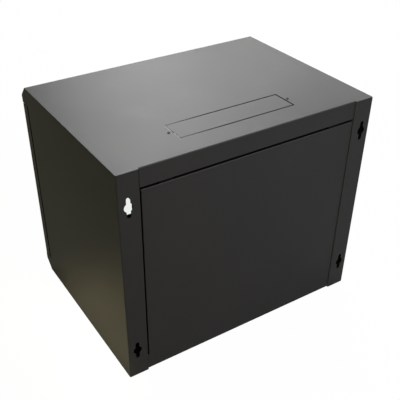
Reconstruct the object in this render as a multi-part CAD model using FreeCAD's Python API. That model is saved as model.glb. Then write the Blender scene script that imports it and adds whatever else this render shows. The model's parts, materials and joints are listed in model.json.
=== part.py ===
"""Wall mount network cabinet, nine units high, with a glass front door. Millimetres, +Z up, wall side at +Y.

The underside of the base stands on z = 0 with the middle of the cabinet over the origin.
The door is at the front, -Y, hinged on the left (-X) and locked on the right (+X).
"""

import FreeCAD
import Part

import math
import os

V = FreeCAD.Vector

# Cabinet
WIDTH = 600.0
DEPTH = 455.0  # nose and door face to the wall face of the fixing strips
HEIGHT = 500.0
SIDE = WIDTH / 2
BACK = DEPTH / 2
FRONT = -DEPTH / 2
MID_Z = HEIGHT / 2

# Body sheet metal
SHEET = 1.2
BEND = 0.8  # inside radius
CHAMFER = 24.0
NOSE = 42.0  # from the top or the base to the lip that faces the door
STOP_LIP = 7.5  # turned down behind the door's top edge
FLANGE = 40.0  # rear flanges of the top and the base
STRIP = 45.0  # wall fixing strips
STRIP_PROUD = 3.5  # strips stand behind the rear panel
STRIP_RETURN = 34.0
SEAM = 0.7
TAB_BACK = 0.8  # the trays' corners end just inside the strips' wall face
TAB_R = 3.0

# Wall keyholes
KEYHOLE_INSET = 21.0
KEYHOLE_END = 72.0  # from the base and from the top
KEYHOLE_Z = (KEYHOLE_END, HEIGHT - KEYHOLE_END)
KEYHOLE_R = 9.5
SLOT_R = 4.5
SLOT_LENGTH = 44.0

# Cable entries
ENTRY_X = 271.0
ENTRY_Y = 60.0
ENTRY_SLIT = 1.75
ENTRY_CENTRE = BACK - 88.5
LUG_WIDTH = 6.0
LUG_PAD = 13.0
LUG_SCREW = 7.5  # screw beyond the end of the opening

# Rear panel
PANEL_GAP = 2.2  # each side, with the panel in the middle
PANEL_SHIFT = -1.7  # it hangs with its play to one side
PANEL_LIFT = 5.0
PANEL_TURN = 13.5
STRAP_X = SIDE - 100.0
STRAP_WIDTH = 30.0
STRAP_SHEET = 2.0
HOOK_DROP = 20.0
HOOK_RISE = 22.0
STRAP_STUD_Z = HEIGHT - FLANGE - 14.0
M5 = 2.5

# Door
DOOR_DEPTH = 26.0
DOOR_GAP = 3.0
REVEAL = 2.0
DOOR_BACK = FRONT + DOOR_DEPTH
STOP_PLANE = DOOR_BACK + DOOR_GAP
DOOR_LOW = NOSE + REVEAL
DOOR_HIGH = HEIGHT - DOOR_LOW
DOOR_TURN = 12.0
DOOR_BEND = 2.0
DOOR_STILE = 75.0
DOOR_RAIL = 28.0
WINDOW_X = SIDE - DOOR_STILE
WINDOW_LOW = DOOR_LOW + DOOR_RAIL
GLASS = 4.0
GLASS_LAP = 12.0
TAPE = 1.0
TAPE_WIDTH = 10.0
CLIP_CORNER = 18.0
CLIP_MIDDLE = 55.0
CLIP_Z = (WINDOW_LOW + CLIP_CORNER, MID_Z - CLIP_MIDDLE)
CLIP_X = WINDOW_X - 115.0
CLIP_WIDTH = 14.0
M4 = 2.0

# Hinge on the left, its axis inside the door
HINGE_X = -SIDE + 7.0
HINGE_Y = DOOR_BACK - 14.0
PIN_R = 3.0
RUN = 0.05  # radial play of a turning or sliding fit
BUSH_R = 4.5
BUSH_FLANGE_R = 5.5
BUSH_LENGTH = 7.0
BRACKET = 1.5
BRACKET_WIDTH = 22.0
PIN_ENGAGE = 6.0
SPRING_LEG_Z = DOOR_HIGH - 38.0
LEVER_DROP = 12.0  # finger lever under the lower leg
SPRING_TURNS = 8
WIRE_R = 0.5

# Buffers on the side panels' flanges
BUFFER_END = 90.0
BUFFER_R = 5.0

# Lock on the right
LOCK_INSET = 42.0
LOCK_X = SIDE - LOCK_INSET
LOCK_Z = MID_Z
LOCK_BODY_R = 9.5
LOCK_FLAT = 8.3
LOCK_BODY = 20.0
PLUG_R = 6.0
PLUG_HEAD_R = 7.0
CAM = 2.0
CAM_REACH = 36.0
CAM_WIDTH = 14.0
CAM_BEHIND = 1.0  # behind the door frame's flange

# Front frame flange of the side panels
FRAME_TURN = 20.0
FRAME_RETURN = 10.5

# 19 inch equipment rails
UNIT = 44.45
RACK_HOLES = 465.1
RACK_STEPS = (6.35, 22.225, 38.1)
SQUARE = 9.5
RAIL = 2.0
RAIL_FACE = FRONT + 67.5
RAIL_OUT = RACK_HOLES / 2 + 18.05
RAIL_IN = RACK_HOLES / 2 - 8.05
RAIL_WEB = 40.0
RAIL_LOW = 45.0
UNITS = int((HEIGHT - 2 * RAIL_LOW) / UNIT)
RACK_BASE = MID_Z - UNITS * UNIT / 2
RUNNER = 1.5
RUNNER_LOW = 60.0
RUNNER_HEIGHT = 30.0
RUNNER_HIGH = RUNNER_LOW + RUNNER_HEIGHT
RUNNER_START = STOP_PLANE + 14.5
RUNNER_END = BACK - STRIP_RETURN - 3.5
BOLT_Z = RUNNER_LOW + RUNNER_HEIGHT / 2
BOLT_Y = RAIL_FACE + 20.0
M6 = 3.0
TRAVEL = 100.0
RUNNER_SLOT_R = 3.3
SLOT_SPARE = 12.0
REAR_SLOT = 130.0
SLOT_WEB = 25.7

# Earth terminal
EARTH_X = SIDE - 100.0
EARTH_Y = BACK - 52.5

PLANES = {
    "xy": (V(1, 0, 0), V(0, 1, 0), V(0, 0, 1)),
    "yz": (V(0, 1, 0), V(0, 0, 1), V(1, 0, 0)),
    "xz": (V(1, 0, 0), V(0, 0, 1), V(0, 1, 0)),
}
ACROSS = {"x": "yz", "y": "xz", "z": "xy"}


def place(plane, u, v, w):
    a, b, c = PLANES[plane]
    return a * u + b * v + c * w


def unit(vector):
    return vector * (1.0 / vector.Length)


def block(x0, x1, y0, y1, z0, z1):
    low = V(min(x0, x1), min(y0, y1), min(z0, z1))
    return Part.makeBox(abs(x1 - x0), abs(y1 - y0), abs(z1 - z0), low)


def disc(axis, u, v, start, end, radius):
    plane = ACROSS[axis]
    direction = PLANES[plane][2] * (end - start)
    return Part.makeCylinder(radius, abs(end - start), place(plane, u, v, start), direction)


def ring(axis, u, v, start, end, outer, inner):
    return disc(axis, u, v, start, end, outer).cut(disc(axis, u, v, start, end, inner))


def prism(plane, points, start, end):
    corners = [place(plane, u, v, start) for u, v in points]
    face = Part.Face(Part.makePolygon(corners + corners[:1]))
    return face.extrude(PLANES[plane][2] * (end - start))


def hexagon(axis, u, v, start, end, flats):
    corner = flats / math.sqrt(3)
    angles = [math.radians(60 * k + 30) for k in range(6)]
    points = [(u + corner * math.cos(a), v + corner * math.sin(a)) for a in angles]
    return prism(ACROSS[axis], points, start, end)


def rounded(shape, direction, radius):
    """Round the edges of a shape that run along one direction."""
    edges = []
    for edge in shape.Edges:
        tangent = edge.tangentAt(edge.FirstParameter)
        if abs(tangent.dot(direction)) > 0.999:
            edges.append(edge)
    return shape.makeFillet(radius, edges)


def obround(axis, along, u, v, start, end, length, radius):
    """A slot cutter centred on (u, v) across one axis, its length along the first or second."""
    half = length / 2 - radius
    plane = ACROSS[axis]
    du, dv = (half, 0) if along == 0 else (0, half)
    pu, pv = (0, radius) if along == 0 else (radius, 0)
    points = [
        (u - du - pu, v - dv - pv),
        (u + du - pu, v + dv - pv),
        (u + du + pu, v + dv + pv),
        (u - du + pu, v - dv + pv),
    ]
    body = prism(plane, points, start, end)
    ends = [disc(axis, u + s * du, v + s * dv, start, end, radius) for s in (-1, 1)]
    return body.fuse(ends)


def folded(plane, path, start, end, sheet=SHEET, bend=BEND):
    """Bent sheet: its centre line lies in a plane and is swept from start to end."""
    half = sheet / 2
    middle = bend + half
    points = [V(u, v, 0) for u, v in path]
    runs = [unit(b - a) for a, b in zip(points, points[1:])]
    edges = []

    def to_space(p):
        return place(plane, p.x, p.y, start)

    def line(p, q):
        if (q - p).Length > 1e-6:
            edges.append(Part.LineSegment(to_space(p), to_space(q)).toShape())

    caps = []
    for side in (1, -1):
        here = points[0] + V(-runs[0].y, runs[0].x, 0) * (side * half)
        caps.append(here)
        for i in range(1, len(points) - 1):
            d1, d2 = runs[i - 1], runs[i]
            turn = 1 if d1.x * d2.y - d1.y * d2.x > 0 else -1
            back = middle * math.tan(d1.getAngle(d2) / 2)
            enter = points[i] - d1 * back
            leave = points[i] + d2 * back
            centre = enter + V(-d1.y, d1.x, 0) * (turn * middle)
            radius = middle - side * turn * half
            a = enter + V(-d1.y, d1.x, 0) * (side * half)
            b = leave + V(-d2.y, d2.x, 0) * (side * half)
            m = centre + unit(points[i] - centre) * radius
            line(here, a)
            edges.append(Part.Arc(to_space(a), to_space(m), to_space(b)).toShape())
            here = b
        last = points[-1] + V(-runs[-1].y, runs[-1].x, 0) * (side * half)
        line(here, last)
        caps.append(last)
    line(caps[0], caps[2])
    line(caps[1], caps[3])
    face = Part.Face(Part.Wire(Part.__sortEdges__(edges)))
    return face.extrude(PLANES[plane][2] * (end - start))


def joined(*shapes):
    return shapes[0].fuse(list(shapes[1:])).removeSplitter()


def left_of(shape):
    return shape.mirror(V(0, 0, 0), V(1, 0, 0))


def below(shape):
    return shape.mirror(V(0, 0, MID_Z), V(0, 0, 1))


def largest(shape):
    return max(shape.Solids, key=lambda solid: solid.Volume)


def group(shapes):
    solids = []
    for shape in shapes:
        solids.extend(shape.Solids)
    return Part.makeCompound(solids)


# Body


def end_tray():
    """Top sheet: rear flange, flat, chamfer, nose, lip over the door and door stop."""
    half = SHEET / 2
    slant = half * math.tan(math.radians(22.5))
    z_flat = HEIGHT - half
    y_nose = FRONT + half
    z_lip = HEIGHT - NOSE + half
    join = BACK - STRIP_PROUD - SHEET - BEND - 0.6
    flat_and_nose = folded(
        "yz",
        [
            (join, z_flat),
            (FRONT + CHAMFER + slant, z_flat),
            (y_nose, HEIGHT - CHAMFER - slant),
            (y_nose, z_lip),
            (STOP_PLANE + half, z_lip),
            (STOP_PLANE + half, HEIGHT - NOSE - STOP_LIP),
        ],
        -SIDE,
        SIDE,
    )
    y_flange = BACK - STRIP_PROUD - half
    reach = SIDE - STRIP - SEAM
    rear = folded(
        "yz",
        [(join, z_flat), (y_flange, z_flat), (y_flange, HEIGHT - FLANGE)],
        -reach,
        reach,
    )
    tray = joined(flat_and_nose, rear, *[strip_tab(s, join) for s in (-1, 1)])
    for s in (-1, 1):
        x_in = s * (SIDE - SHEET)
        x_out = s * (SIDE + 1)
        z_low = HEIGHT - NOSE - STOP_LIP - 1
        tray = tray.cut(block(x_in, x_out, STOP_PLANE - 0.5, STOP_PLANE + 10, z_low, HEIGHT - NOSE + SHEET))
    y_low = ENTRY_CENTRE - ENTRY_Y / 2
    y_high = ENTRY_CENTRE + ENTRY_Y / 2
    opening = block(-ENTRY_X / 2, ENTRY_X / 2, y_low, y_high, HEIGHT - 5, HEIGHT + 5)
    tray = tray.cut(rounded(opening, V(0, 0, 1), 2.5))
    for s in (-1, 1):
        tray = tray.cut(disc("z", s * (ENTRY_X / 2 + LUG_SCREW), ENTRY_CENTRE, HEIGHT - 5, HEIGHT + 5, 1.6))
    return tray.cut(disc("z", HINGE_X, HINGE_Y, HEIGHT - NOSE - 1, HEIGHT - NOSE + 3, BUSH_R))


def strip_tab(s, y_low):
    """Corner of the flat sheet that covers the end of a wall strip."""
    x_in, x_out = s * (SIDE - STRIP), s * SIDE
    y_high = BACK - TAB_BACK
    tab = block(x_in, x_out, y_low, y_high, HEIGHT - SHEET, HEIGHT)
    corner = []
    for edge in tab.Edges:
        middle = edge.CenterOfMass
        if abs(middle.x - x_out) < 0.01 and abs(middle.y - y_high) < 0.01:
            corner.append(edge)
    return tab.makeFillet(TAB_R, corner)


def top_panel():
    return end_tray()


def bottom_panel():
    return below(end_tray())


def ear():
    """Side sheet behind the nose and the chamfer, up to the top sheet."""
    z_low = HEIGHT - NOSE + SHEET
    outline = [
        (STOP_PLANE + 10, z_low),
        (FRONT, z_low),
        (FRONT, HEIGHT - CHAMFER),
        (FRONT + CHAMFER, HEIGHT),
        (STOP_PLANE + 10, HEIGHT),
    ]
    return largest(prism("yz", outline, SIDE - SHEET, SIDE).cut(end_tray()))


def keyhole(x, z):
    slot = obround("y", 1, x, z, BACK - 5, BACK + 5, SLOT_LENGTH, SLOT_R)
    return slot.fuse(disc("y", x, z, BACK - 5, BACK + 5, KEYHOLE_R))


def side_sheet():
    """Right side: wall strip with keyholes, side, ears, and the flange behind the door."""
    half = SHEET / 2
    x_side = SIDE - half
    x_return = SIDE - STRIP + half
    y_strip = BACK - half
    join = STOP_PLANE + 14.0
    z_low = SHEET
    z_high = HEIGHT - SHEET
    frame_low = NOSE + STOP_LIP + 0.5
    main = folded(
        "xy",
        [(x_return, BACK - STRIP_RETURN), (x_return, y_strip), (x_side, y_strip), (x_side, join)],
        z_low,
        z_high,
    )
    frame = folded(
        "xy",
        [
            (x_side, join + 4),
            (x_side, STOP_PLANE + half),
            (SIDE - FRAME_TURN + half, STOP_PLANE + half),
            (SIDE - FRAME_TURN + half, STOP_PLANE + FRAME_RETURN),
        ],
        frame_low,
        HEIGHT - frame_low,
    )
    ends = [
        block(SIDE - SHEET, SIDE, STOP_PLANE, join + 4, z_low, frame_low),
        block(SIDE - SHEET, SIDE, STOP_PLANE, join + 4, HEIGHT - frame_low, z_high),
    ]
    side = joined(main, frame, *ends, ear(), below(ear()))
    for z in KEYHOLE_Z:
        side = side.cut(keyhole(SIDE - KEYHOLE_INSET, z))
    return side


def right_side_panel():
    side = side_sheet()
    strike = block(SIDE - 25, SIDE - 15, STOP_PLANE + SHEET, STOP_PLANE + 15, LOCK_Z - 42, LOCK_Z + 18)
    return side.cut(strike)


def left_side_panel():
    return left_of(side_sheet())


def entry_plate():
    """Cover flush with the top sheet, on lugs that step down under it."""
    half_x = ENTRY_X / 2 - ENTRY_SLIT
    half_y = ENTRY_Y / 2 - ENTRY_SLIT
    plate = block(-half_x, half_x, ENTRY_CENTRE - half_y, ENTRY_CENTRE + half_y, HEIGHT - SHEET, HEIGHT)
    plate = rounded(plate, V(0, 0, 1), 1.5)
    z_top = HEIGHT - SHEET / 2
    z_low = z_top - SHEET
    edge = ENTRY_X / 2
    lug = folded(
        "xz",
        [(edge - 8, z_top), (edge - 2.3, z_top), (edge - 1.1, z_low), (edge + 6, z_low)],
        ENTRY_CENTRE - LUG_WIDTH / 2,
        ENTRY_CENTRE + LUG_WIDTH / 2,
        bend=0.05,
    )
    pad = block(
        edge + 0.5,
        edge + LUG_PAD,
        ENTRY_CENTRE - LUG_PAD / 2,
        ENTRY_CENTRE + LUG_PAD / 2,
        z_low - SHEET / 2,
        z_low + SHEET / 2,
    )
    lug = lug.fuse(rounded(pad, V(0, 0, 1), 2.0))
    lug = lug.cut(disc("z", edge + LUG_SCREW, ENTRY_CENTRE, HEIGHT - 5, HEIGHT, 1.5))
    return joined(plate, lug, left_of(lug))


def top_entry_plate():
    return entry_plate()


def bottom_entry_plate():
    return below(entry_plate())


def entry_screw(x):
    head = disc("z", x, ENTRY_CENTRE, HEIGHT, HEIGHT + 1.6, 2.8)
    head = head.makeChamfer(0.6, [e for e in head.Edges if e.BoundBox.ZMin > HEIGHT + 1])
    recess = block(x - 1.8, x + 1.8, ENTRY_CENTRE - 0.35, ENTRY_CENTRE + 0.35, HEIGHT + 0.8, HEIGHT + 2)
    cross = block(x - 0.35, x + 0.35, ENTRY_CENTRE - 1.8, ENTRY_CENTRE + 1.8, HEIGHT + 0.8, HEIGHT + 2)
    shank = disc("z", x, ENTRY_CENTRE, HEIGHT - 6, HEIGHT, 1.5)
    return joined(head.cut(recess).cut(cross), shank)


def top_entry_screws():
    x = ENTRY_X / 2 + LUG_SCREW
    return group([entry_screw(x), entry_screw(-x)])


def bottom_entry_screws():
    x = ENTRY_X / 2 + LUG_SCREW
    return group([below(recessed_screw(x)), below(recessed_screw(-x))])


def recessed_screw(x):
    """Low head for the base, inside the sheet so that the cabinet stands flat."""
    shank = disc("z", x, ENTRY_CENTRE, HEIGHT - 6, HEIGHT - 0.05, 1.5)
    slit = block(x - 2, x + 2, ENTRY_CENTRE - 0.3, ENTRY_CENTRE + 0.3, HEIGHT - 0.9, HEIGHT)
    return shank.cut(slit)


def rear_panel():
    """Pan with turned sides and top; it stands on the base's rear flange."""
    half = SHEET / 2
    y_face = BACK - STRIP_PROUD - half
    y_turn = BACK - STRIP_PROUD - PANEL_TURN - half
    x_edge = SIDE - STRIP - PANEL_GAP
    x_left = PANEL_SHIFT - x_edge
    x_right = PANEL_SHIFT + x_edge
    z_low = FLANGE
    z_high = HEIGHT - FLANGE - PANEL_LIFT
    z_turn = z_high - SHEET - BEND - 0.1
    pan = folded(
        "xy",
        [(x_left + half, y_turn), (x_left + half, y_face), (x_right - half, y_face), (x_right - half, y_turn)],
        z_low,
        z_turn,
    )
    head = folded(
        "yz",
        [(y_face, z_turn), (y_face, z_high - half), (y_turn, z_high - half)],
        x_left,
        x_right,
    )
    pan = joined(pan, head)
    for x in strap_places():
        clear = STRAP_WIDTH / 2 + 1.5
        pan = pan.cut(block(x - clear, x + clear, y_turn - 2, y_face - half, z_high - 12, z_high + 1))
        pan = pan.fuse(disc("y", x, STRAP_STUD_Z, y_face - half, y_face - half - 14, M5))
    return pan.removeSplitter()


def strap_places():
    return (PANEL_SHIFT - STRAP_X, PANEL_SHIFT + STRAP_X)


def strap(x, z_low, z_high):
    y_inside = BACK - STRIP_PROUD - SHEET
    half = STRAP_WIDTH / 2
    plate = block(x - half, x + half, y_inside - STRAP_SHEET, y_inside, z_low, z_high)
    return rounded(plate, V(0, 1, 0), 4.0)


def rear_panel_top_straps():
    straps = []
    for x in strap_places():
        plate = strap(x, STRAP_STUD_Z - 11, HEIGHT - FLANGE + 24)
        straps.append(plate.cut(disc("y", x, STRAP_STUD_Z, BACK - 20, BACK, M5 + 0.25)))
    return group(straps)


def rear_panel_hooks():
    return group([strap(x, FLANGE - HOOK_DROP, FLANGE + HOOK_RISE) for x in strap_places()])


def flanged_nut(axis, u, v, start, away, radius, flats, height):
    """Hexagon nut with a round flange against the sheet at start."""
    collar = disc(axis, u, v, start, start + away * height * 0.25, flats * 0.68)
    body = hexagon(axis, u, v, start, start + away * height, flats)
    return joined(body, collar).cut(disc(axis, u, v, start, start + away * height, radius))


def rear_panel_nuts():
    y_inside = BACK - STRIP_PROUD - SHEET - STRAP_SHEET
    return group([flanged_nut("y", x, STRAP_STUD_Z, y_inside, -1, M5, 8.0, 5.0) for x in strap_places()])


# Equipment rails


def runner():
    """Right lower channel along the side, slotted for the rail's bolts."""
    half = RUNNER / 2
    path = [
        (SIDE - SHEET - half, RUNNER_HIGH),
        (SIDE - SHEET - half, RUNNER_LOW + half),
        (RAIL_OUT + half, RUNNER_LOW + half),
        (RAIL_OUT + half, RUNNER_HIGH),
    ]
    channel = folded("xz", path, RUNNER_START, RUNNER_END, sheet=RUNNER, bend=1.2)
    front_length = TRAVEL + SLOT_SPARE + 2 * RUNNER_SLOT_R
    front_centre = BOLT_Y + TRAVEL / 2
    rear_centre = front_centre + front_length / 2 + SLOT_WEB + REAR_SLOT / 2
    for centre, length in ((front_centre, front_length), (rear_centre, REAR_SLOT)):
        channel = channel.cut(
            obround("x", 0, centre, BOLT_Z, RAIL_OUT - 2, RAIL_OUT + 5, length, RUNNER_SLOT_R)
        )
    return channel


def right_lower_runner():
    return runner()


def right_upper_runner():
    return below(runner())


def left_lower_runner():
    return left_of(runner())


def left_upper_runner():
    return below(left_of(runner()))


def rack_holes():
    return [RACK_BASE + UNIT * u + step for u in range(UNITS) for step in RACK_STEPS]


def equipment_rail():
    """Right rail: square holes to the 19 inch pattern in the front, bolted by its web."""
    half = RAIL / 2
    y_rear = RAIL_FACE + RAIL_WEB
    rail = folded(
        "xy",
        [
            (RAIL_IN, RAIL_FACE + half),
            (RAIL_OUT - half, RAIL_FACE + half),
            (RAIL_OUT - half, y_rear - half),
            (RAIL_OUT - 12, y_rear - half),
        ],
        RAIL_LOW,
        HEIGHT - RAIL_LOW,
        sheet=RAIL,
        bend=1.0,
    )
    x = RACK_HOLES / 2
    h = SQUARE / 2
    cuts = [block(x - h, x + h, RAIL_FACE - 1, RAIL_FACE + RAIL + 1, z - h, z + h) for z in rack_holes()]
    for z in (BOLT_Z, HEIGHT - BOLT_Z):
        cuts.append(disc("x", BOLT_Y, z, RAIL_OUT - 5, RAIL_OUT + 1, M6 + 0.2))
    return rail.cut(Part.makeCompound(cuts))


def right_equipment_rail():
    return equipment_rail()


def left_equipment_rail():
    return left_of(equipment_rail())


def rail_bolts():
    bolts = []
    for z in (BOLT_Z, HEIGHT - BOLT_Z):
        head = hexagon("x", BOLT_Y, z, RAIL_OUT - RAIL - 4, RAIL_OUT - RAIL, 10.0)
        shank = disc("x", BOLT_Y, z, RAIL_OUT - RAIL, RAIL_OUT + 11, M6)
        bolts.append(joined(head, shank))
    return group(bolts)


def rail_nuts():
    zs = (BOLT_Z, HEIGHT - BOLT_Z)
    return group([flanged_nut("x", BOLT_Y, z, RAIL_OUT + RUNNER, 1, M6, 10.0, 6.0) for z in zs])


def right_rail_bolts():
    return rail_bolts()


def left_rail_bolts():
    return left_of(rail_bolts())


def right_rail_nuts():
    return rail_nuts()


def left_rail_nuts():
    return left_of(rail_nuts())


def first_unit():
    return (RACK_BASE + RACK_STEPS[0], RACK_BASE + RACK_STEPS[2])


def cage(z):
    """Spring steel cage: two hooked arms through the square hole, closed behind the nut."""
    x = RACK_HOLES / 2
    sheet = 0.5
    half = sheet / 2
    y_hook = RAIL_FACE - half
    y_shoulder = RAIL_FACE + RAIL + half
    y_back = y_shoulder + 5.6
    arm = [(6.2, y_hook), (4.2, y_hook), (4.2, y_shoulder), (5.9, y_shoulder), (5.9, y_back)]
    path = [(x + u, v) for u, v in arm] + [(x - u, v) for u, v in reversed(arm)]
    strip = folded("xy", path, z - 3.8, z + 3.8, sheet=sheet, bend=0.3)
    return strip.cut(disc("y", x, z, RAIL_FACE, RAIL_FACE + 12, 3.3))


def square_nut(z):
    x = RACK_HOLES / 2
    y_back = RAIL_FACE + RAIL + 5.6
    nut = block(x - 5, x + 5, y_back - 4.6, y_back, z - 5, z + 5)
    nut = rounded(nut, V(0, 1, 0), 0.8)
    return nut.cut(disc("y", x, z, RAIL_FACE, RAIL_FACE + 12, 2.5))


def cages():
    return group([cage(z) for z in first_unit()])


def square_nuts():
    return group([square_nut(z) for z in first_unit()])


def right_nut_cages():
    return cages()


def left_nut_cages():
    return left_of(cages())


def right_cage_nuts():
    return square_nuts()


def left_cage_nuts():
    return left_of(square_nuts())


# Earth terminal


def earth_stud():
    stud = disc("z", EARTH_X, EARTH_Y, SHEET, SHEET + 20, M6)
    return joined(stud, disc("z", EARTH_X, EARTH_Y, SHEET, SHEET + 1, M6 + 1))


def earth_washers():
    washers = []
    for k in range(2):
        z = SHEET + 1 + 1.6 * k
        washers.append(ring("z", EARTH_X, EARTH_Y, z, z + 1.6, 6.2, M6))
    return group(washers)


def earth_nut():
    z = SHEET + 1 + 3.2
    nut = hexagon("z", EARTH_X, EARTH_Y, z, z + 5, 10.0)
    return nut.cut(disc("z", EARTH_X, EARTH_Y, z, z + 5, M6))


# Door


def clip_places():
    """Stud positions of the glass clips as (x, z, edge)."""
    places = []
    for s in (-1, 1):
        for z in CLIP_Z:
            places.append((s * (WINDOW_X + GLASS_LAP + 11), z, "side"))
            places.append((s * (WINDOW_X + GLASS_LAP + 11), HEIGHT - z, "side"))
        places.append((s * CLIP_X, WINDOW_LOW - GLASS_LAP - 9, "low"))
        places.append((s * CLIP_X, HEIGHT - WINDOW_LOW + GLASS_LAP + 9, "high"))
    return places


def face_edges(shape, *levels):
    """Edges that lie in the planes y = level."""
    found = []
    for edge in shape.Edges:
        box = edge.BoundBox
        for level in levels:
            if abs(box.YMin - level) < 1e-4 and abs(box.YMax - level) < 1e-4:
                found.append(edge)
    return found


def door_frame():
    """Steel pan with a window: four turned sides, returned behind, with studs for the clips."""
    outer = block(-SIDE, SIDE, FRONT, DOOR_BACK, DOOR_LOW, DOOR_HIGH)
    outer = outer.makeFillet(DOOR_BEND, face_edges(outer, FRONT, DOOR_BACK))
    inner = block(
        SHEET - SIDE, SIDE - SHEET, FRONT + SHEET, DOOR_BACK - SHEET, DOOR_LOW + SHEET, DOOR_HIGH - SHEET
    )
    inner = inner.makeFillet(BEND, face_edges(inner, FRONT + SHEET, DOOR_BACK - SHEET))
    frame = outer.cut(inner)
    turn = DOOR_TURN
    frame = frame.cut(
        block(turn - SIDE, SIDE - turn, DOOR_BACK - 3, DOOR_BACK + 1, DOOR_LOW + turn, DOOR_HIGH - turn)
    )
    window = block(-WINDOW_X, WINDOW_X, FRONT - 1, FRONT + 3, WINDOW_LOW, HEIGHT - WINDOW_LOW)
    frame = frame.cut(rounded(window, V(0, 1, 0), 4.0))
    lock = disc("y", LOCK_X, LOCK_Z, FRONT - 1, FRONT + 3, LOCK_BODY_R + 0.1)
    flat = LOCK_FLAT + 0.1
    lock = lock.common(block(LOCK_X - 15, LOCK_X + 15, FRONT - 2, FRONT + 4, LOCK_Z - flat, LOCK_Z + flat))
    frame = frame.cut(lock)
    frame = frame.cut(disc("z", HINGE_X, HINGE_Y, DOOR_LOW - 1, DOOR_LOW + 3, BUSH_R + 0.3))
    frame = frame.cut(disc("z", HINGE_X, HINGE_Y, DOOR_HIGH - 3, DOOR_HIGH + 1, PIN_R + 0.4))
    studs = [disc("y", x, z, FRONT + SHEET, FRONT + SHEET + 9, M4) for x, z, _ in clip_places()]
    return joined(frame, *studs)


def glass_limits():
    x = WINDOW_X + GLASS_LAP
    return x, WINDOW_LOW - GLASS_LAP, HEIGHT - WINDOW_LOW + GLASS_LAP


def door_glass():
    x, low, high = glass_limits()
    y = FRONT + SHEET + TAPE
    pane = rounded(block(-x, x, y, y + GLASS, low, high), V(0, 1, 0), 5.0)
    return pane.makeChamfer(0.5, face_edges(pane, y, y + GLASS))


def glass_tape():
    x, low, high = glass_limits()
    y = FRONT + SHEET
    edge = 1.0
    outer = rounded(block(edge - x, x - edge, y, y + TAPE, low + edge, high - edge), V(0, 1, 0), 4.0)
    w = TAPE_WIDTH
    inner = block(w - x, x - w, y - 1, y + TAPE + 1, low + w, high - w)
    return outer.cut(inner)


def glass_clip(x, z, edge):
    """Z clip: foot on the door skin, step past the glass edge, finger on the pane."""
    half = SHEET / 2
    y_foot = FRONT + SHEET + half
    y_finger = FRONT + SHEET + TAPE + GLASS + half
    away = 1 if edge == "high" or (edge == "side" and x > 0) else -1
    if edge == "side":
        path = [(x + away * 6.5, y_foot), (x - away * 7.8, y_foot)]
        path += [(x - away * 7.8, y_finger), (x - away * 17, y_finger)]
        clip = folded("xy", path, z - CLIP_WIDTH / 2, z + CLIP_WIDTH / 2)
    else:
        path = [(y_foot, z + away * 4.8), (y_foot, z - away * 6.2)]
        path += [(y_finger, z - away * 6.2), (y_finger, z - away * 15)]
        clip = folded("yz", path, x - CLIP_WIDTH / 2, x + CLIP_WIDTH / 2)
    return clip.cut(disc("y", x, z, FRONT, FRONT + 5, M4 + 0.15))


def glass_clips():
    return group([glass_clip(x, z, edge) for x, z, edge in clip_places()])


def glass_clip_nuts():
    nuts = []
    start = FRONT + 2 * SHEET
    for x, z, _ in clip_places():
        nut = hexagon("y", x, z, start, start + 3.2, 7.0)
        nuts.append(nut.cut(disc("y", x, z, start, start + 3.2, M4)))
    return group(nuts)


def hinge_bracket(z_levels, z_low, z_high):
    half = BRACKET / 2
    y_web = FRONT + SHEET + half
    y_tip = DOOR_BACK - 5.5
    if len(z_levels) == 2:
        path = [(y_tip, z_high), (y_web, z_high), (y_web, z_low), (y_tip, z_low)]
    else:
        path = [(y_tip, z_low), (y_web, z_low), (y_web, z_high)]
    x_edge = -SIDE + SHEET + BEND + 0.1
    return folded("yz", path, x_edge, x_edge + BRACKET_WIDTH, sheet=BRACKET, bend=1.0)


def upper_leg_z():
    return DOOR_HIGH - SHEET - 1.5


def upper_hinge_bracket():
    """Two legs that guide the sprung pin."""
    bracket = hinge_bracket((1, 2), SPRING_LEG_Z, upper_leg_z())
    return bracket.cut(disc("z", HINGE_X, HINGE_Y, SPRING_LEG_Z - 5, DOOR_HIGH, PIN_R + RUN))


def lower_leg_z():
    return DOOR_LOW + SHEET + 2.05


def lower_hinge_bracket():
    bracket = hinge_bracket((1,), lower_leg_z(), DOOR_LOW + 36)
    return bracket.cut(disc("z", HINGE_X, HINGE_Y, DOOR_LOW, DOOR_LOW + 10, PIN_R))


def lower_hinge_pin():
    """Riveted in the bracket; its collar carries the door on the bush."""
    leg_low = lower_leg_z() - BRACKET / 2
    leg_high = leg_low + BRACKET
    z_collar = NOSE + 1.0
    shaft = disc("z", HINGE_X, HINGE_Y, z_collar - 8, leg_high + 2, PIN_R)
    collar = disc("z", HINGE_X, HINGE_Y, z_collar, leg_low, BUSH_R)
    head = disc("z", HINGE_X, HINGE_Y, leg_high, leg_high + 2, BUSH_R)
    return joined(shaft, collar, head)


def bush(z_face, away):
    """Flanged bush in the lip; away is +1 into the top nose, -1 into the base's nose."""
    flange = disc("z", HINGE_X, HINGE_Y, z_face - away, z_face, BUSH_FLANGE_R)
    body = disc("z", HINGE_X, HINGE_Y, z_face, z_face + away * BUSH_LENGTH, BUSH_R)
    low, high = z_face - away * 2, z_face + away * (BUSH_LENGTH + 1)
    return joined(flange, body).cut(disc("z", HINGE_X, HINGE_Y, low, high, PIN_R + RUN))


def upper_hinge_bush():
    return bush(HEIGHT - NOSE, 1)


def lower_hinge_bush():
    return bush(NOSE, -1)


def clip_z():
    return upper_leg_z() - BRACKET / 2 - 0.05


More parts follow.
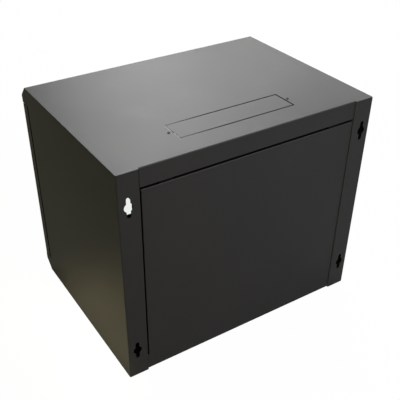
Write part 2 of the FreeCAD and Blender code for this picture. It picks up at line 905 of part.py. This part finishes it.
def sprung_hinge_pin():
    """Rod that draws down out of the bush; its lower end is bent into a finger lever."""
    z_top = HEIGHT - NOSE + PIN_ENGAGE
    z_bend = SPRING_LEG_Z - LEVER_DROP
    radius = 6.0
    a = V(HINGE_X, HINGE_Y, z_top)
    b = V(HINGE_X, HINGE_Y, z_bend + radius)
    m = V(HINGE_X + radius - radius * math.sqrt(0.5), HINGE_Y, z_bend + radius - radius * math.sqrt(0.5))
    c = V(HINGE_X + radius, HINGE_Y, z_bend)
    d = V(HINGE_X + 25, HINGE_Y, z_bend)
    line = Part.Wire([Part.makeLine(a, b), Part.Arc(b, m, c).toShape(), Part.makeLine(c, d)])
    circle = Part.Wire(Part.makeCircle(PIN_R, a, V(0, 0, 1)))
    pin = line.makePipeShell([circle], True, False)
    ends = [e for e in pin.Edges if e.BoundBox.ZMin > z_top - 0.01 or e.BoundBox.XMin > d.x - 0.01]
    return pin.makeChamfer(0.7, ends)


def hinge_pin_clip():
    return ring("z", HINGE_X, HINGE_Y, clip_z() - 1.2, clip_z(), 5.4, PIN_R)


def hinge_pin_spring():
    """Compression spring between the lower leg and the clip, its round wire in eight flats."""
    low = SPRING_LEG_Z + BRACKET / 2 + WIRE_R
    high = clip_z() - 1.2 - WIRE_R
    coil_r = PIN_R + 1.1
    helix = Part.makeHelix((high - low) / SPRING_TURNS, high - low, coil_r)
    corners = [math.radians(45 * k + 22.5) for k in range(8)]
    points = [V(coil_r + WIRE_R * math.cos(a), 0, WIRE_R * math.sin(a)) for a in corners]
    profile = Part.makePolygon(points + points[:1])
    coil = Part.Wire(helix).makePipeShell([profile], True, True)
    coil.rotate(V(0, 0, 0), V(0, 0, 1), 180)  # the wire starts on the door's side
    coil.translate(V(HINGE_X, HINGE_Y, low))
    return coil


# Lock


def lock_housing():
    bezel = disc("y", LOCK_X, LOCK_Z, FRONT - 2, FRONT, 11.5)
    bezel = bezel.makeChamfer(0.8, face_edges(bezel, FRONT - 2))
    body = disc("y", LOCK_X, LOCK_Z, FRONT, FRONT + LOCK_BODY, LOCK_BODY_R)
    z_low, z_high = LOCK_Z - LOCK_FLAT, LOCK_Z + LOCK_FLAT
    flats = block(LOCK_X - 15, LOCK_X + 15, FRONT, FRONT + LOCK_BODY, z_low, z_high)
    housing = joined(bezel, body.common(flats))
    housing = housing.cut(disc("y", LOCK_X, LOCK_Z, FRONT - 3, FRONT + LOCK_BODY + 1, PLUG_R + RUN))
    return housing.cut(disc("y", LOCK_X, LOCK_Z, FRONT - 3, FRONT + 1, PLUG_HEAD_R + RUN))


def lock_nut():
    start = FRONT + SHEET
    nut = hexagon("y", LOCK_X, LOCK_Z, start, start + 3.5, 24.0)
    return nut.cut(disc("y", LOCK_X, LOCK_Z, start, start + 3.5, LOCK_BODY_R))


def cam_plane():
    """Front face of the cam's foot, just behind the housing."""
    return FRONT + LOCK_BODY + 0.2


def lock_plug():
    head = disc("y", LOCK_X, LOCK_Z, FRONT - 1.8, FRONT + 1, PLUG_HEAD_R)
    body = disc("y", LOCK_X, LOCK_Z, FRONT, cam_plane(), PLUG_R)
    y_end = cam_plane() + CAM - 0.1
    tail = block(LOCK_X - 3.5, LOCK_X + 3.5, cam_plane() - 1, y_end, LOCK_Z - 3.5, LOCK_Z + 3.5)
    plug = joined(head, body, tail)
    key_slot = block(LOCK_X - 1.1, LOCK_X + 1.1, FRONT - 3, FRONT + 12, LOCK_Z - 4.2, LOCK_Z + 4.2)
    plug = plug.cut(key_slot)
    return plug.cut(disc("y", LOCK_X, LOCK_Z, cam_plane() + CAM, cam_plane() - 6, M4))


def lock_cam():
    """Cranked cam, hanging down when unlocked; it turns behind the side panel's flange."""
    half = CAM / 2
    y_foot = cam_plane() + half
    y_tip = STOP_PLANE + SHEET + CAM_BEHIND + half
    path = [
        (y_foot, LOCK_Z + 9),
        (y_foot, LOCK_Z - 8.5),
        (y_tip, LOCK_Z - 14.5),
        (y_tip, LOCK_Z - CAM_REACH),
    ]
    cam = folded("yz", path, LOCK_X - CAM_WIDTH / 2, LOCK_X + CAM_WIDTH / 2, sheet=CAM, bend=1.0)
    outline = block(
        LOCK_X - CAM_WIDTH / 2, LOCK_X + CAM_WIDTH / 2, FRONT, 0, LOCK_Z - CAM_REACH, LOCK_Z + 9
    )
    cam = cam.common(rounded(outline, V(0, 1, 0), 5.0))
    hole = 3.5 + RUN
    return cam.cut(block(LOCK_X - hole, LOCK_X + hole, FRONT, 0, LOCK_Z - hole, LOCK_Z + hole))


def cam_screw():
    start = cam_plane() + CAM
    head = disc("y", LOCK_X, LOCK_Z, start, start + 2.4, 5.2)
    head = head.makeChamfer(0.8, face_edges(head, start + 2.4))
    cross = block(LOCK_X - 2.2, LOCK_X + 2.2, start + 1.2, start + 3, LOCK_Z - 0.4, LOCK_Z + 0.4)
    other = block(LOCK_X - 0.4, LOCK_X + 0.4, start + 1.2, start + 3, LOCK_Z - 2.2, LOCK_Z + 2.2)
    shank = disc("y", LOCK_X, LOCK_Z, start, start - 7.9, M4)
    return joined(head.cut(cross).cut(other), shank)


def door_buffers():
    x = SIDE - FRAME_TURN / 2
    zs = (BUFFER_END, HEIGHT - BUFFER_END)
    return group([disc("y", x, z, STOP_PLANE, DOOR_BACK + 0.2, BUFFER_R) for z in zs])


NODES = [
    top_panel,
    bottom_panel,
    left_side_panel,
    right_side_panel,
    top_entry_plate,
    bottom_entry_plate,
    top_entry_screws,
    bottom_entry_screws,
    rear_panel,
    rear_panel_top_straps,
    rear_panel_hooks,
    rear_panel_nuts,
    left_lower_runner,
    left_upper_runner,
    right_lower_runner,
    right_upper_runner,
    left_equipment_rail,
    right_equipment_rail,
    left_rail_bolts,
    right_rail_bolts,
    left_rail_nuts,
    right_rail_nuts,
    left_nut_cages,
    right_nut_cages,
    left_cage_nuts,
    right_cage_nuts,
    earth_stud,
    earth_washers,
    earth_nut,
    upper_hinge_bush,
    lower_hinge_bush,
    door_buffers,
    door_frame,
    door_glass,
    glass_tape,
    glass_clips,
    glass_clip_nuts,
    upper_hinge_bracket,
    lower_hinge_bracket,
    lower_hinge_pin,
    sprung_hinge_pin,
    hinge_pin_clip,
    hinge_pin_spring,
    lock_housing,
    lock_nut,
    lock_plug,
    lock_cam,
    cam_screw,
]

os.makedirs("parts", exist_ok=True)
for make in NODES:
    make().exportStep("parts/" + make.__name__ + ".step")
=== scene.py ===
"""Looks of the wall mount network cabinet: finishes, studio light and camera.

Metres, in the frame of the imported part: +Z up, wall side at +Y, glass door at -Y.
"""

import json
import math

import bmesh
import bpy
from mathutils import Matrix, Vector


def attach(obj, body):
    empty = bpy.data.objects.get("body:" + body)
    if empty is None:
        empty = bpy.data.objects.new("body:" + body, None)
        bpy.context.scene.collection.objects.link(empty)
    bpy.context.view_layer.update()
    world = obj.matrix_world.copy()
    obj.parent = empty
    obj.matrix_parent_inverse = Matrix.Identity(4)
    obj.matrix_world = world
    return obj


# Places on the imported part, which the masks and the lips follow
MIDDLE = 0.25  # half the cabinet's height
OUTER_FACE = (0.296, 0.298)  # from here outwards, a side panel's outer face
PANEL_SHIFT = -0.0017  # the rear panel hangs a little to one side
PANEL_SIDE = 0.2528  # half its width
PANEL_HEAD = 0.455  # its upper edge
PANEL_FACE = 0.224  # its face
FOLD = (0.0014, 0.0008)  # in from its edge, where the painted shade on a turned edge starts and is full
FOLD_DEPTH = (0.0008, 0.0006)  # in front of its face, and the fade behind that
DOOR_SEAM = -0.2  # the middle of the seam between the door and the body
DOOR_HALF = 0.205  # half the door's height
DOOR_LINE = (0.0028, 0.0008)  # half the painted-shade line over the seam, and the fade beside it
STRIP_SEAM = 0.2547  # the seams between the right fixing strip and the trays' rear flanges
STRIP_LINE = (0.0015, 0.0011)
STRIP_BEND = (-0.2562, -0.2553)  # the inward half of the left strip's bend
STRIP_BACK = (0.2, 0.21)  # from here back, the left strip's bend carries painted light
FLANGE = 0.209  # the rear flanges start this far over and under the middle
TOP_BEND = 0.4975  # where the rear flange bends into the top
WALL_SIDE = (0.21, 0.212)  # from here back, the strips and the flanges
ENTRY_MIDDLE = 0.139
ENTRY_HALF = (0.1355, 0.03)  # half the cover's length and width
ENTRY_LINE = (0.0011, 0.0007)
ENTRY_FADE = (0.135, 0.02)  # the painted shade along the slit is absent at the first, full from the second on

SHEET = 0.0012
STRAP_PLACE = 0.2  # the straps, each side of the panel's middle
LIPS = (  # from the middle of a strap: its offset, its place in depth, its width and depth
    (0, 0.2154, (0.034, 0.0104)),
    (-0.0163, 0.2215, (0.0025, 0.0016)),
    (0.0163, 0.2215, (0.0025, 0.0016)),
)

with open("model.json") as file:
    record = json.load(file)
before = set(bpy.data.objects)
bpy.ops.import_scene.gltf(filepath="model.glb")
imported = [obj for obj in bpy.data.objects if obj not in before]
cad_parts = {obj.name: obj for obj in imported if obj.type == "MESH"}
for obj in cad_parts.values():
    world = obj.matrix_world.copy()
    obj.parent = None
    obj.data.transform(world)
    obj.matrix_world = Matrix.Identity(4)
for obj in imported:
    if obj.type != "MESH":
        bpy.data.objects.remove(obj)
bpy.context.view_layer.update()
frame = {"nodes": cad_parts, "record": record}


# Shader nodes


class Value:
    """A shader socket that can stand in an expression, as in 1 - mask * 0.3."""

    def __init__(self, finish, socket):
        self.finish = finish
        self.socket = socket

    def math(self, operation, *values):
        inputs = dict(enumerate(values))
        return self.finish.node("ShaderNodeMath", {"operation": operation}, inputs)

    def __add__(self, other):
        return self.math("ADD", self, other)

    def __radd__(self, other):
        return self.math("ADD", other, self)

    def __sub__(self, other):
        return self.math("SUBTRACT", self, other)

    def __rsub__(self, other):
        return self.math("SUBTRACT", other, self)

    def __mul__(self, other):
        return self.math("MULTIPLY", self, other)

    def __rmul__(self, other):
        return self.math("MULTIPLY", other, self)

    def __abs__(self):
        return self.math("ABSOLUTE", self)

    def most(self, other):
        return self.math("MAXIMUM", self, other)


class Finish:
    """One material, or the world, and the nodes that make it."""

    def __init__(self, name, kind="materials"):
        self.block = getattr(bpy.data, kind).new(name)
        self.block.use_nodes = True
        self.tree = self.block.node_tree
        self.tree.nodes.clear()

    def node(self, kind, settings=None, inputs=None, output=0):
        node = self.tree.nodes.new(kind)
        for name, value in (settings or {}).items():
            setattr(node, name, value)
        for name, value in (inputs or {}).items():
            if isinstance(value, Value):
                self.tree.links.new(value.socket, node.inputs[name])
            else:
                node.inputs[name].default_value = value
        return Value(self, node.outputs[output] if node.outputs else None)

    def place(self, stretch=(1, 1, 1)):
        """Object coordinates, stretched along the axes for grain that has a direction."""
        spot = self.node("ShaderNodeTexCoord", output="Object")
        return self.node("ShaderNodeMapping", None, {"Vector": spot, "Scale": stretch})

    def axes(self):
        """x, y and z in the part's frame."""
        spot = self.node("ShaderNodeTexCoord", output="Object")
        split = self.node("ShaderNodeSeparateXYZ", None, {"Vector": spot}).socket.node.outputs
        return [Value(self, split[axis]) for axis in "XYZ"]

    def noise(self, scale, detail=2.0, rough=0.5, stretch=(1, 1, 1)):
        inputs = {"Vector": self.place(stretch), "Scale": scale}
        inputs.update({"Detail": detail, "Roughness": rough})
        return self.node("ShaderNodeTexNoise", None, inputs, "Fac")

    def cells(self, scale):
        inputs = {"Vector": self.place(), "Scale": scale}
        return self.node("ShaderNodeTexVoronoi", {"feature": "F1"}, inputs, "Distance")

    def band(self, value, low, high):
        """0 where value is under low, 1 over high, smooth between."""
        inputs = {"Value": value, "From Min": low, "From Max": high}
        return self.node("ShaderNodeMapRange", {"interpolation_type": "SMOOTHSTEP"}, inputs)

    def within(self, distance, reach, fade):
        """1 where distance is under reach, 0 from reach + fade on, smooth between."""
        return 1 - self.band(distance, reach, reach + fade)

    def blend(self, share, first, second):
        settings = {"data_type": "RGBA"}
        return self.node("ShaderNodeMix", settings, {0: share, 6: first, 7: second}, 2)

    def bump(self, height, distance, strength=1.0):
        inputs = {"Height": height, "Distance": distance, "Strength": strength}
        return self.node("ShaderNodeBump", None, inputs)

    def principled(self, **inputs):
        words = {name.replace("_", " "): value for name, value in inputs.items()}
        return self.node("ShaderNodeBsdfPrincipled", None, words)

    def mix(self, share, first, second):
        return self.node("ShaderNodeMixShader", None, {0: share, 1: first, 2: second})

    def light_path(self):
        """The light path's outputs by name, as values."""
        path = self.node("ShaderNodeLightPath").socket.node.outputs
        return {output.name: Value(self, output) for output in path}

    def show(self, shader, output="ShaderNodeOutputMaterial"):
        self.node(output, None, {"Surface": shader})
        return self.block


def grey(level, warm=0.0):
    return (level * (1 + warm), level, level * (1 - warm), 1.0)


# Masks for the powder coat, which place painted shade, and painted light on one bend


def everywhere(coat):
    """All of the coat, a little unevenly: painted shade over a whole part."""
    return coat.noise(300) * 0.1 + 0.9


def door_seam(coat):
    """Painted shade on both sides of the seam between the door and the body, on their outer
    faces, which widens the seam's dark line.
    """
    x, y, z = coat.axes()
    beside = coat.within(abs(y - DOOR_SEAM), *DOOR_LINE)
    height = coat.within(abs(z - MIDDLE), DOOR_HALF, 0.001)
    return beside * height * coat.band(abs(x), *OUTER_FACE)


def strip_seam(coat):
    """Painted shade on both sides of the seams between the right fixing strip and the trays'
    rear flanges.
    """
    x, y, z = coat.axes()
    beside = coat.within(abs(x - STRIP_SEAM), *STRIP_LINE)
    flange = coat.band(abs(z - MIDDLE), FLANGE, FLANGE + 0.0005)
    below_top = coat.within(z, TOP_BEND, 0.0005)
    return beside * coat.band(y, *WALL_SIDE) * flange * below_top * 0.55


def entry_slit(coat):
    """Painted shade along the slit round the cable entry's cover, uneven and less to the right.
    """
    x, y, _ = coat.axes()
    over_x = abs(x) - ENTRY_HALF[0]
    over_y = abs(y - ENTRY_MIDDLE) - ENTRY_HALF[1]
    faded = coat.band(x, *ENTRY_FADE) * (0.7 + coat.noise(9) * 0.6)
    return coat.within(abs(over_x.most(over_y)), *ENTRY_LINE) * faded


def side_seams(coat):
    return door_seam(coat).most(strip_seam(coat))


def tray_lines(coat):
    return strip_seam(coat).most(entry_slit(coat))


def panel_folds(coat):
    """Painted shade on the outsides of the rear panel's head and right edge, inside the line of
    its face, so the gaps round the panel read dark.
    """
    x, y, z = coat.axes()
    depth, fade = FOLD_DEPTH
    side = coat.band(x - PANEL_SHIFT, *[PANEL_SIDE - inset for inset in FOLD])
    head = coat.band(z, *[PANEL_HEAD - inset for inset in FOLD])
    return side.most(head) * coat.within(y, PANEL_FACE - depth, fade)


def strip_bend(coat):
    """Painted light on the bend along the inner edge of the left fixing strip, which is made
    paler as if lit.
    """
    x, y, _ = coat.axes()
    return coat.band(x, *STRIP_BEND) * coat.band(y, *STRIP_BACK)


# Finishes


def powder_coat(name, black=0.024, sheen=0.42, painted_shade=None, painted_light=None):
    """Fine textured polyester powder on sheet steel, rubbed a little smoother in places.

    One mask lays a near-black matt shader over the coat, which is painted shade; the other
    makes its colour paler, which is painted light.
    """
    coat = Finish(name)
    grain = coat.noise(1500, 2)
    peel = coat.noise(420, 3, 0.6)
    cloud = coat.noise(5.0, 4, 0.55)
    rubbed = coat.band(coat.noise(17, 6, 0.65), 0.55, 0.75)
    speck = coat.band(coat.noise(2600, 1), 0.66, 0.72)
    colour = coat.blend(cloud, grey(black * 0.85, 0.02), grey(black * 1.2, 0.04))
    colour = coat.blend(speck * 0.35, colour, grey(black * 2.6))
    # Painted light: a paler colour over its mask.
    if painted_light:
        colour = coat.blend(painted_light(coat), colour, grey(0.08, 0.03))
    rough = sheen + (cloud - 0.5) * 0.07 + (grain - 0.5) * 0.08 - rubbed * 0.025
    relief = grain * 0.45 + peel * 0.55
    shader = coat.principled(
        Base_Color=colour,
        Roughness=rough,
        Specular_IOR_Level=0.25,
        Normal=coat.bump(relief, 0.00009, 0.7),
    )
    # Painted shade: a near-black matt shader over its mask.
    if painted_shade:
        dull = coat.principled(Base_Color=grey(0.002), Roughness=0.8, Specular_IOR_Level=0.05)
        shader = coat.mix(painted_shade(coat), shader, dull)
    return coat.show(shader)


def black_oxide():
    metal = Finish("black_oxide_screws")
    mottle = metal.noise(900, 3)
    colour = metal.blend(mottle, grey(0.012), grey(0.035))
    shader = metal.principled(
        Base_Color=colour,
        Metallic=0.6,
        Roughness=0.38 + mottle * 0.15,
        Normal=metal.bump(mottle, 0.00003, 0.5),
    )
    return metal.show(shader)


def zinc():
    """Bright zinc with a thin passivated film, part bluish and part straw."""
    metal = Finish("zinc_plated_steel")
    film = metal.band(metal.noise(70, 3), 0.35, 0.65)
    drawn = metal.noise(700, 3, 0.6, (1, 1, 0.12))
    stain = metal.band(metal.noise(240, 4, 0.7), 0.56, 0.72)
    colour = metal.blend(film, (0.56, 0.6, 0.66, 1), (0.66, 0.64, 0.57, 1))
    colour = metal.blend(stain * 0.35, colour, (0.36, 0.36, 0.35, 1))
    shader = metal.principled(
        Base_Color=colour,
        Metallic=1.0,
        Roughness=0.26 + drawn * 0.14 + stain * 0.12,
        Normal=metal.bump(drawn, 0.00004, 0.4),
    )
    return metal.show(shader)


def spring_steel():
    metal = Finish("spring_steel")
    drawn = metal.noise(900, 2, 0.5, (1, 1, 0.3))
    colour = metal.blend(drawn, (0.3, 0.3, 0.31, 1), (0.46, 0.45, 0.43, 1))
    shader = metal.principled(
        Base_Color=colour,
        Metallic=1.0,
        Roughness=0.24 + drawn * 0.12,
        Normal=metal.bump(drawn, 0.00003, 0.3),
    )
    return metal.show(shader)


def brass():
    metal = Finish("brass_earth_terminal")
    tarnish = metal.band(metal.noise(160, 4, 0.6), 0.45, 0.7)
    colour = metal.blend(tarnish, (0.72, 0.52, 0.24, 1), (0.42, 0.29, 0.13, 1))
    shader = metal.principled(
        Base_Color=colour,
        Metallic=1.0,
        Roughness=0.24 + tarnish * 0.2,
        Normal=metal.bump(metal.noise(1200, 2), 0.00003, 0.3),
    )
    return metal.show(shader)


def bright_nickel():
    metal = Finish("nickel_plated_lock")
    wipe = metal.noise(240, 3, 0.6)
    colour = metal.blend(wipe, (0.6, 0.6, 0.61, 1), (0.72, 0.71, 0.7, 1))
    shader = metal.principled(
        Base_Color=colour,
        Metallic=1.0,
        Roughness=0.12 + wipe * 0.1,
        Normal=metal.bump(wipe, 0.00002, 0.3),
    )
    return metal.show(shader)


def bounced(path):
    """1 once a ray has left a surface, other than straight through glass."""
    bounces = path["Diffuse Depth"] + path["Glossy Depth"]
    return bounces.math("MINIMUM", bounces, 1.0)


def clear_glass():
    """Toughened pane, faintly green, with a trace of dust. Little stray light gets through."""
    glass = Finish("toughened_glass")
    dust = glass.band(glass.noise(30, 5, 0.7), 0.5, 0.8)
    pane = glass.principled(
        Base_Color=(0.93, 0.96, 0.945, 1),
        Roughness=0.01 + dust * 0.03,
        IOR=1.5,
        Transmission_Weight=1.0,
    )
    through = glass.node("ShaderNodeBsdfTransparent", None, {"Color": (0.03, 0.033, 0.032, 1)})
    path = glass.light_path()
    stray = path["Is Shadow Ray"].most(bounced(path))
    return glass.show(glass.mix(stray, pane, through))


def foam():
    tape = Finish("foam_tape")
    pores = tape.cells(1600)
    colour = tape.blend(pores, grey(0.008), grey(0.03))
    shader = tape.principled(
        Base_Color=colour,
        Roughness=0.9,
        Specular_IOR_Level=0.2,
        Normal=tape.bump(pores, 0.0002, 0.8),
    )
    return tape.show(shader)


def moulded(name, level, rough):
    """Rubber or nylon with a fine moulded skin."""
    plastic = Finish(name)
    skin = plastic.noise(1100, 3)
    bloom = plastic.noise(60, 4, 0.6)
    colour = plastic.blend(bloom, grey(level * 0.8), grey(level * 1.3))
    shader = plastic.principled(
        Base_Color=colour,
        Roughness=rough + (skin - 0.5) * 0.12,
        Specular_IOR_Level=0.35,
        Normal=plastic.bump(skin, 0.00006, 0.5),
    )
    return plastic.show(shader)


finishes = {
    "body_coat": powder_coat("black_powder_coat"),
    "door_coat": powder_coat("black_powder_coat_door"),
    "rail_coat": powder_coat("black_powder_coat_rails", 0.026, 0.46),
    "black_screw": black_oxide(),
    "zinc_steel": zinc(),
    "spring_steel": spring_steel(),
    "brass": brass(),
    "door_glass": clear_glass(),
    "foam_tape": foam(),
    "buffer_rubber": moulded("buffer_rubber", 0.02, 0.75),
    "bush_nylon": moulded("bush_nylon", 0.03, 0.5),
    "lock_chrome": bright_nickel(),
}

# Painted shade along the cable entry's slit and beside the right strip's seams.
entry_coat = powder_coat("black_powder_coat_entry", painted_shade=tray_lines)
# Near-black painted shade over whole parts, for the straps and hooks in the gap over the rear
# panel and for the lips.
painted_shade_coat = powder_coat("black_painted_shade_coat", 0.01, 0.6, painted_shade=everywhere)
# Single parts whose coat carries painted shade in its seams and gaps, and painted light on the
# left strip's bend.
own_finish = {
    "door_frame": powder_coat("black_powder_coat_door_edges", painted_shade=door_seam),
    "right_side_panel": powder_coat("black_powder_coat_sides", painted_shade=side_seams),
    "left_side_panel": powder_coat(
        "black_powder_coat_left_side", painted_shade=side_seams, painted_light=strip_bend
    ),
    "top_panel": entry_coat,
    "top_entry_plate": entry_coat,
    "rear_panel": powder_coat("black_powder_coat_panel", painted_shade=panel_folds),
    "rear_panel_top_straps": painted_shade_coat,
    "rear_panel_hooks": painted_shade_coat,
}

for subpart in frame["record"]["subparts"]:
    name = subpart["node"]
    for held in frame["nodes"][name].material_slots:
        held.material = own_finish.get(name, finishes[subpart["material_slot"]])


# Lips under the rear panel's head, which close its notches round the straps: dark plates in the
# near-black painted-shade finish, so the gap there shows only shade


def strap_lips():
    """One mesh of six small bevelled plates, three at each strap, in the near-black
    painted-shade finish.
    """
    lips = bmesh.new()
    for strap in (PANEL_SHIFT - STRAP_PLACE, PANEL_SHIFT + STRAP_PLACE):
        for offset, y, size in LIPS:
            made = bmesh.ops.create_cube(lips, size=1.0)["verts"]
            bmesh.ops.scale(lips, verts=made, vec=(*size, SHEET))
            place = (strap + offset, y, PANEL_HEAD - 1.5 * SHEET)
            bmesh.ops.translate(lips, verts=made, vec=place)
    bmesh.ops.bevel(
        lips, geom=lips.edges[:], offset=0.0002, offset_type="OFFSET", segments=2,
        profile=0.5, affect="EDGES", material=-1,
    )
    mesh = bpy.data.meshes.new("strap_lips")
    lips.to_mesh(mesh)
    lips.free()
    piece = bpy.data.objects.new("strap_lips", mesh)
    bpy.context.scene.collection.objects.link(piece)
    mesh.materials.append(painted_shade_coat)
    return piece


piece = strap_lips()
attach(piece, "cabinet")


# Studio


def background_ray(finish, mirrored):
    """1 where the background is seen straight or through glass, and a share where mirrored."""
    path = finish.light_path()
    through = path["Is Transmission Ray"] * (1 - bounced(path))
    glossy = path["Is Glossy Ray"] * mirrored
    return path["Is Camera Ray"].most(through).most(glossy)


def pale_floor(radius=14.0):
    """Paper that is almost white to the camera, and tinted where the part mirrors it."""
    mesh = bpy.data.meshes.new("studio_floor")
    ground = bmesh.new()
    bmesh.ops.create_circle(ground, cap_ends=True, segments=64, radius=radius)
    ground.to_mesh(mesh)
    ground.free()
    floor = bpy.data.objects.new("studio_floor", mesh)
    floor.location.z = -0.0004
    bpy.context.scene.collection.objects.link(floor)
    paper = Finish("studio_paper")
    fibre = paper.noise(9, 4)
    beside, behind = [paper.blend(fibre, dark, pale) for dark, pale in (BESIDE, BEHIND)]
    x = paper.axes()[0]
    tint = paper.blend(paper.band(x, *FLOOR_EDGE), behind, beside)
    matt = paper.node("ShaderNodeBsdfDiffuse", None, {"Color": tint})
    glow = paper.node("ShaderNodeEmission", None, {"Color": (1, 1, 1, 1), "Strength": GLOW})
    seen = background_ray(paper, 0.0) * GLOW_SHARE
    mesh.materials.append(paper.show(paper.mix(seen, matt, glow)))


def studio_world(level):
    """White where it is seen, and dim as a light."""
    air = Finish("studio_world", "worlds")
    strength = level + background_ray(air, 0.5) * (1.0 - level)
    inputs = {"Color": (1, 1, 1, 1), "Strength": strength}
    sky = air.node("ShaderNodeBackground", None, inputs)
    bpy.context.scene.world = air.show(sky, "ShaderNodeOutputWorld")


def softbox(name, place, target, size, watts, colour=(1, 1, 1), spread=180):
    """A rectangular lamp that the camera sees neither straight nor through glass."""
    lamp = bpy.data.lights.new(name, "AREA")
    lamp.shape = "RECTANGLE"
    lamp.size, lamp.size_y = size
    lamp.energy = watts
    lamp.color = colour
    lamp.spread = math.radians(spread)
    holder = bpy.data.objects.new(name, lamp)
    holder.location = place
    holder.rotation_euler = (Vector(target) - Vector(place)).to_track_quat("-Z", "Y").to_euler()
    holder.visible_camera = False
    holder.visible_transmission = False
    bpy.context.scene.collection.objects.link(holder)


def around(azimuth, elevation):
    """The far lamps' place at that azimuth from +X and that elevation, in degrees."""
    a, e = math.radians(azimuth), math.radians(elevation)
    step = Vector((math.cos(e) * math.cos(a), math.cos(e) * math.sin(a), math.sin(e)))
    return Vector(CABINET) + step * FAR


def camera(place, view, lens, shift):
    """A camera with a 36 mm sensor, fitted to the cabinet's edges."""
    eye = bpy.data.cameras.new("studio_camera")
    eye.sensor_width = 36.0
    eye.lens = lens
    eye.shift_x, eye.shift_y = shift
    eye.clip_end = 100.0
    holder = bpy.data.objects.new("studio_camera", eye)
    holder.location = place
    holder.rotation_euler = Vector(view).to_track_quat("-Z", "Y").to_euler()
    bpy.context.scene.collection.objects.link(holder)
    bpy.context.scene.camera = holder


BESIDE = (0.34, 0.335, 0.25, 1), (0.37, 0.365, 0.28, 1)  # the floor on the lock side
BEHIND = (0.32, 0.335, 0.34, 1), (0.35, 0.365, 0.37, 1)  # the floor elsewhere
FLOOR_EDGE = (0.15, 0.45)  # where the one turns into the other
GLOW, GLOW_SHARE = 1.05, 0.93  # the white that the camera sees, and how far it hides the shadow
WARM, COOL, AMBER = (1, 0.95, 0.62), (0.88, 0.86, 1), (1, 0.86, 0.62)
CABINET = (0, 0, 0.4)  # what the far lamps face
FAR = 3.2  # their distance from it

pale_floor()
studio_world(0.05)
softbox("far_window", around(246, 28), CABINET, (1.0, 0.8), 19)
softbox("far_fill", around(236, 32), CABINET, (1.1, 0.8), 8)
softbox("far_side_window", around(220, 20), CABINET, (1.5, 0.8), 12)
softbox("high_window", around(240, 44), CABINET, (1.4, 0.7), 22)
softbox("near_window", (0.9, 1.6, 2.4), (0.1, 0.4, 0), (1.0, 1.0), 20, WARM)
softbox("right_window", (-1.2, 2.2, 1.6), (-0.1, 0.2, 0.1), (1.0, 1.0), 36, COOL)
softbox("middle_window", (0.2, 2.6, 1.6), (0, 0.3, 0.1), (1.2, 1.0), 14)
softbox("floor_glow", (0.37, 0.06, 0.6), (0.37, 0.061, 0), (0.06, 0.4), 0.31, AMBER, 26)
camera(
    place=(0.70324, 1.10557, 1.08015),
    view=(-0.43302, -0.6906, -0.57928),
    lens=59.4649,
    shift=(0.02692, 0.06248),
)

bpy.context.scene.view_settings.view_transform = "Standard"
